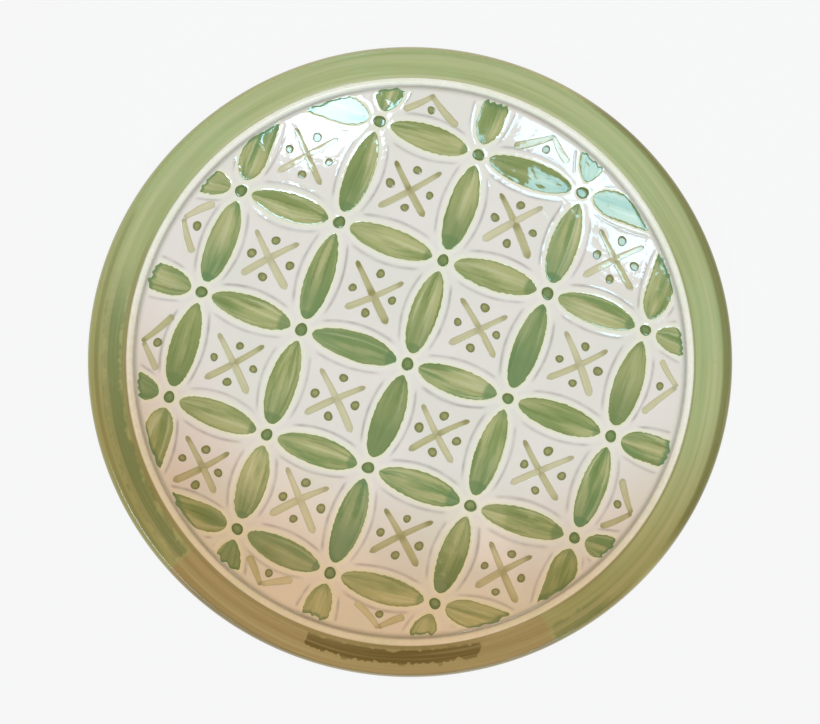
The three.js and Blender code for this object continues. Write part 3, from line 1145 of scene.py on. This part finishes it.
def well_surface(material, relief):
    """The white coat in the well: a fine relief above, and a plain skin below."""
    flat = disc_grid(WELL_CELLS) * unrolled(WELL_EDGE)
    side = WELL_CELLS + 1
    places = flat.reshape(-1, 2)
    height, ridge, crease, fringe, groove = relief.layers(places)
    loop = edge_walk(side, side)
    below, under = skin_below(places[loop], len(places))
    ring = np.arange(len(places), len(places) + len(loop))
    faces = [*grid_faces(side, side), *wall_faces(loop, ring), *under]
    every = np.vstack((on_well(places, height), below))
    layers = {"ridge": ridge, "crease": crease, "fringe": fringe, "groove": groove}
    padded = {key: np.concatenate((value, np.zeros(len(below)))) for key, value in layers.items()}
    return new_object("well_surface", every, faces, material, padded)


# ---- painted pieces


def pool(name, flat, raised, sunk_by, relief, material, attributes):
    """A closed pool of glaze over a grid of flat places, resting in the well's surface."""
    rows, columns = flat.shape[:2]
    places = flat.reshape(-1, 2)
    ground = relief.unevenness(places)
    upper = on_well(places, ground + raised.ravel())
    lower = on_well(places, ground - sunk_by)
    count = len(places)
    loop = edge_walk(rows, columns)
    upper_faces = grid_faces(rows, columns)
    lower_faces = grid_faces(rows, columns, count)[:, ::-1]
    faces = [*upper_faces, *lower_faces, *wall_faces(loop, loop + count)]
    doubled = {key: np.tile(np.ravel(value), 2) for key, value in attributes.items()}
    return new_object(name, np.vstack((upper, lower)), faces, material, doubled)


def petal_pool(petal, relief, material):
    """A petal's pool of glaze, shaded darker where the brush was lifted off."""
    t = (1 - np.cos(np.linspace(0, np.pi, PETAL_ROWS + 1))) / 2
    side = np.sin(np.linspace(-1, 1, PETAL_COLUMNS + 1) * np.pi / 2)
    along, across = np.meshgrid(t, side, indexing="ij")
    reach = petal.reach_of(side)[None, :]
    flat = petal.place(along * reach, across)
    flat = flat + petal.across * PETAL_WANDER * petal.edge_noise.at(flat)[..., None]
    tip = smooth_step(along, 0.0, 0.08) * (1 - smooth_step(along, 0.94, 1.0))
    raised = POOL_EDGE + POOL_CROWN * (1 - across**4) ** 0.6 * (0.25 + 0.75 * tip)
    place = along * reach
    lifted = petal.lift + 0.03 * across**2
    shade = petal.load + 0.75 * smooth_step(place, lifted - 0.03, lifted + 0.02)
    if petal.level:
        shade = shade + 0.22 * (1 - smooth_step(place, 0.05, 0.45))
    else:
        shade = shade + 0.55 * smooth_step(place, 0.3, 0.85) + 0.5 * bell(place - 0.03, 0.06)
    if not petal.whole:
        shade = shade + smooth_step(along, 0.86, 0.97)
    shade = np.clip(shade, 0, 1)
    attributes = {
        "along": place,
        "across": across,
        "shade": shade,
        "tone": np.full(along.shape, petal.tone),
        "seed": np.full(along.shape, petal.seed),
    }
    return pool(petal.name, flat, raised, POOL_SINK, relief, material, attributes)


def drop(name, centre, radius, crown, relief, material, rng):
    """A round drop of glaze with a slightly uneven outline."""
    disc = disc_grid(DROP_CELLS)
    angle = np.arctan2(disc[..., 1], disc[..., 0])
    orders = np.array((2, 3))
    phases = rng.uniform(0, 2 * np.pi, 2)
    wobble = (np.sin(angle[..., None] * orders + phases) * (0.06, 0.03)).sum(axis=-1)
    flat = centre + disc * radius * (1 + wobble)[..., None]
    reach = np.clip(np.hypot(disc[..., 0], disc[..., 1]), 0, 1)
    raised = POOL_EDGE + crown * (1 - reach**4) ** 0.6
    return pool(name, flat, raised, POOL_SINK, relief, material, {"reach": reach})


class Stroke:
    """One brush stroke of a cross: it lands thin and dark and leaves broad and pale."""

    def __init__(self, start, end, rng):
        reach = end - start
        self.centre = (start + end) / 2
        self.half = np.linalg.norm(reach) / 2
        self.way = reach / np.linalg.norm(reach)
        self.across = np.array((-self.way[1], self.way[0]))
        self.width = STROKE_WIDTH * rng.uniform(0.85, 1.15)
        self.bow = rng.uniform(-0.8, 0.8)
        self.seed = rng.uniform(0, 100)
        self.faint = rng.uniform(0.0, 1.0)

    def width_at(self, t):
        tip = np.sqrt(smooth_step(t, -0.015, 0.05)) * np.sqrt(1 - smooth_step(t, 0.93, 1.012))
        swell = STROKE_START_WIDTH + (self.width - STROKE_START_WIDTH) * smooth_step(t, 0.0, 0.75)
        return np.maximum(swell * tip, 0.12)

    def place(self, t, side):
        along = self.half * (2 * t - 1)
        bow = self.bow * 4 * t * (1 - t) + side * self.width_at(t)
        return self.centre + self.way * along[..., None] + self.across * bow[..., None]


def cross_strokes(corners, rng):
    """The two strokes of a cross, each near one diagonal of its cell."""
    strokes = []
    for way in (corners[2] - corners[0], corners[3] - corners[1]):
        middle = corners.mean(axis=0) + rng.uniform(-0.7, 0.7, 2)
        angle = math.degrees(math.atan2(way[1], way[0])) + rng.uniform(-4, 4)
        half = unit(angle) * STROKE_HALF_LENGTH * rng.uniform(0.92, 1.06)
        strokes.append(Stroke(middle - half, middle + half, rng))
    return strokes


def inner_corners(corners):
    """The two corners of a cell that lie nearest the plate's middle."""
    order = np.linalg.norm(corners, axis=1).argsort()
    return corners[order[:2]]


def edge_apex(corners):
    """Where the two strokes of a cut cell meet, just inside the bead."""
    middle = inner_corners(corners).mean(axis=0)
    way = middle / np.linalg.norm(middle)
    return way * (unrolled(PETAL_LIMIT) - EDGE_STROKE_GAP)


def edge_strokes(corners, rng):
    """The two strokes of a cut cell: a V from the bead towards the cell's inner corners."""
    apex = edge_apex(corners)
    strokes = []
    for corner in inner_corners(corners):
        end = apex + (corner - apex) * EDGE_STROKE_SHARE * rng.uniform(0.9, 1.1)
        strokes.append(Stroke(apex + rng.uniform(-0.5, 0.5, 2), end, rng))
    return strokes


def stroke_piece(name, stroke, crossing, relief, material):
    """A brush stroke, darker at its ends and where it crosses another."""
    t = np.linspace(0, 1, STROKE_ROWS)
    side = np.linspace(-1, 1, STROKE_COLUMNS)
    along, across = np.meshgrid(t, side, indexing="ij")
    flat = stroke.place(along, across)
    raised = 0.05 + 0.05 * (1 - across**2)
    dark = bell(along - 0.03, 0.08) + 0.5 * bell(along - 0.97, 0.06) * (1 - stroke.faint)
    dark = dark + crossing * bell(along - 0.5, 0.07) + 0.3 * (1 - stroke.faint)
    attributes = {
        "along": along,
        "across": across,
        "dark": np.clip(dark, 0, 1),
        "faint": np.full(along.shape, stroke.faint),
        "seed": np.full(along.shape, stroke.seed),
    }
    return pool(name, flat, raised, POOL_SINK, relief, material, attributes)


def cell_dots(corners, whole, rng):
    """The middles of a cell's dots: four between the arms of a cross, or one inside a V."""
    if not whole:
        apex = edge_apex(corners)
        return [apex + (inner_corners(corners).mean(axis=0) - apex) * EDGE_DOT_SHARE]
    sides = [LEVEL_STEP / LEVEL_PITCH, UPRIGHT_STEP / UPRIGHT_PITCH]
    ways = [sign * side for side in sides for sign in (1, -1)]
    reach = [CELL_DOT_REACH * rng.uniform(0.93, 1.07) for _ in ways]
    middle = corners.mean(axis=0)
    return [middle + way * r + rng.uniform(-0.7, 0.7, 2) for way, r in zip(ways, reach)]


def cell_pieces(number, corners, whole, relief, wash, olive, rng):
    """A cell's strokes and dots."""
    strokes = cross_strokes(corners, rng) if whole else edge_strokes(corners, rng)
    crossing = 0.6 if whole else 0.0
    made = []
    for letter, stroke in zip("ab", strokes):
        made.append(stroke_piece(f"stroke_{number:02d}_{letter}", stroke, crossing, relief, wash))
    for letter, place in zip("abcd", cell_dots(corners, whole, rng)):
        radius = CELL_DOT * rng.uniform(0.9, 1.12)
        if np.linalg.norm(place) < unrolled(PETAL_LIMIT) - radius - 1.0:
            name = f"cell_dot_{number:02d}_{letter}"
            made.append(drop(name, place, radius, CELL_DOT_CROWN, relief, olive, rng))
    return made


# ---- surroundings


def aim(item, target):
    way = Vector(target) - item.location
    item.rotation_euler = way.to_track_quat("-Z", "Y").to_euler()


def area_light(name, place, target, size, power, colour):
    data = bpy.data.lights.new(name, "AREA")
    data.shape = "RECTANGLE"
    data.size, data.size_y = size
    data.energy = power
    data.color = colour
    item = add_object(name, data)
    item.location = place
    aim(item, target)
    return item


def floor_material():
    shader = Shader("pale_floor", 0.9)
    shader.surface.inputs["Emission Color"].default_value = FLOOR_GLOW
    shader.surface.inputs["Emission Strength"].default_value = 1.0
    place = shader.position()
    clouds = shader.noise(place, 0.004, 2.0)
    shader.colour(shader.mix(clouds, (0.02, 0.02, 0.02, 1), (0.022, 0.022, 0.022, 1)))
    shader.surface.inputs["Specular IOR Level"].default_value = 0.0
    return shader.material


def make_floor():
    line = np.linspace(-FLOOR_REACH, FLOOR_REACH, FLOOR_POINTS)
    x, y = np.meshgrid(line, line, indexing="ij")
    points = np.stack((x, y, np.full_like(x, -FLOOR_DROP)), axis=-1).reshape(-1, 3)
    faces = grid_faces(FLOOR_POINTS, FLOOR_POINTS)
    floor = new_object("pale_floor", points, faces, floor_material())


def make_world():
    world = bpy.data.worlds.new("soft_room")
    world.use_nodes = True
    background = world.node_tree.nodes["Background"]
    background.inputs["Color"].default_value = WORLD_COLOUR
    background.inputs["Strength"].default_value = WORLD_STRENGTH
    bpy.context.scene.world = world


def make_camera():
    data = bpy.data.cameras.new("camera")
    data.sensor_width = SENSOR_WIDTH
    distance = CAMERA_HEIGHT - PLATE_HEIGHT * MM
    data.lens = SENSOR_WIDTH * distance / FRAME_WIDTH
    data.clip_start = 0.05
    data.clip_end = 20
    camera = add_object("camera", data)
    camera.location = (0, 0, CAMERA_HEIGHT)
    bpy.context.scene.camera = camera


def direction(azimuth, elevation):
    across = math.cos(math.radians(elevation))
    turn = math.radians(azimuth)
    rise = math.sin(math.radians(elevation))
    return Vector((math.cos(turn) * across, math.sin(turn) * across, rise))


def make_reflected_lights():
    """Lights seen only as reflections in the wet looking glaze: cool windows and warm panels."""
    for name, azimuth, elevation, size, power, colour in REFLECTED_LIGHTS:
        place = direction(azimuth, elevation) * REFLECTED_DISTANCE
        item = area_light(name, place, (0, 0, 0.03), size, power, colour)
        item.visible_diffuse = False


def make_key():
    """A soft edged pool of daylight over the far side of the plate."""
    data = bpy.data.lights.new("key", "SPOT")
    data.energy = KEY_POWER
    data.color = KEY_COLOUR
    data.spot_size = math.radians(KEY_SPREAD)
    data.spot_blend = KEY_BLEND
    data.shadow_soft_size = KEY_RADIUS
    item = add_object("key", data)
    target = Vector(KEY_TARGET) * MM
    item.location = target + direction(*KEY_DIRECTION) * KEY_DISTANCE
    item.visible_glossy = False
    aim(item, target)


# ---- the build


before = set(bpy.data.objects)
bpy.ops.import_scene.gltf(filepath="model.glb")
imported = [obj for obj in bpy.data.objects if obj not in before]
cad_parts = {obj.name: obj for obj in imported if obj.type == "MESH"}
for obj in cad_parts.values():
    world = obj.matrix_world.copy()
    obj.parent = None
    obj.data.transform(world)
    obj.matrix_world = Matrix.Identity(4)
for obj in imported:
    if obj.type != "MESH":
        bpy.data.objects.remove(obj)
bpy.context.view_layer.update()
bpy.context.scene.view_settings.view_transform = "Standard"

make_camera()
make_world()
make_reflected_lights()
make_key()
make_floor()

hand = np.random.default_rng(RANDOM_SEED)
petals = petal_family("level", LEVEL_STEP, 1, 0, hand)
petals += petal_family("upright", UPRIGHT_STEP, 0, 1, hand)
junctions = all_junctions()
relief = Relief(petals, junctions, hand)

clay = clay_material("fired_clay", rgb(206, 178, 146), rgb(188, 156, 122))
foot_clay = clay_material("bare_foot", rgb(214, 188, 156), rgb(196, 166, 132))
back = back_material()
place_piece(body_core(clay), "fired_clay", "clay_body")
place_piece(foot_piece(foot_clay), "bare_foot", "foot_ring")
place_piece(well_surface(white_glaze_material(), relief), "white_glaze", "well_glaze")
place_piece(bead_ring(bead_material(), hand), "slip_bead", "slip_bead")
place_piece(rim_band(rim_material(), hand), "rim_green", "rim_glaze")
place_piece(back_coat(back, hand), "back_cream", "back_glaze")
place_piece(base_coat(back), "back_cream", "base_glaze")

petal_green = petal_material()
for petal in petals:
    node = petal.name
    petal.name = node.replace("petal", "pool")
    place_piece(petal_pool(petal, relief, petal_green), "petal_green", node)

junction_green = dot_material("junction_green", rgb(128, 152, 98), rgb(100, 122, 72))
for number, centre in enumerate(junctions, 1):
    size = JUNCTION_DOT * hand.uniform(0.92, 1.08)
    name = f"junction_dot_{number:02d}"
    dot = drop(name, centre, size, JUNCTION_DOT_CROWN, relief, junction_green, hand)
    place_piece(dot, "petal_green")

wash = wash_material()
olive = dot_material("olive_dot", rgb(162, 162, 114), rgb(124, 130, 76))
for number, (corners, whole) in enumerate(cell_corners(), 1):
    for piece in cell_pieces(number, corners, whole, relief, wash, olive, hand):
        place_piece(piece, "petal_green")
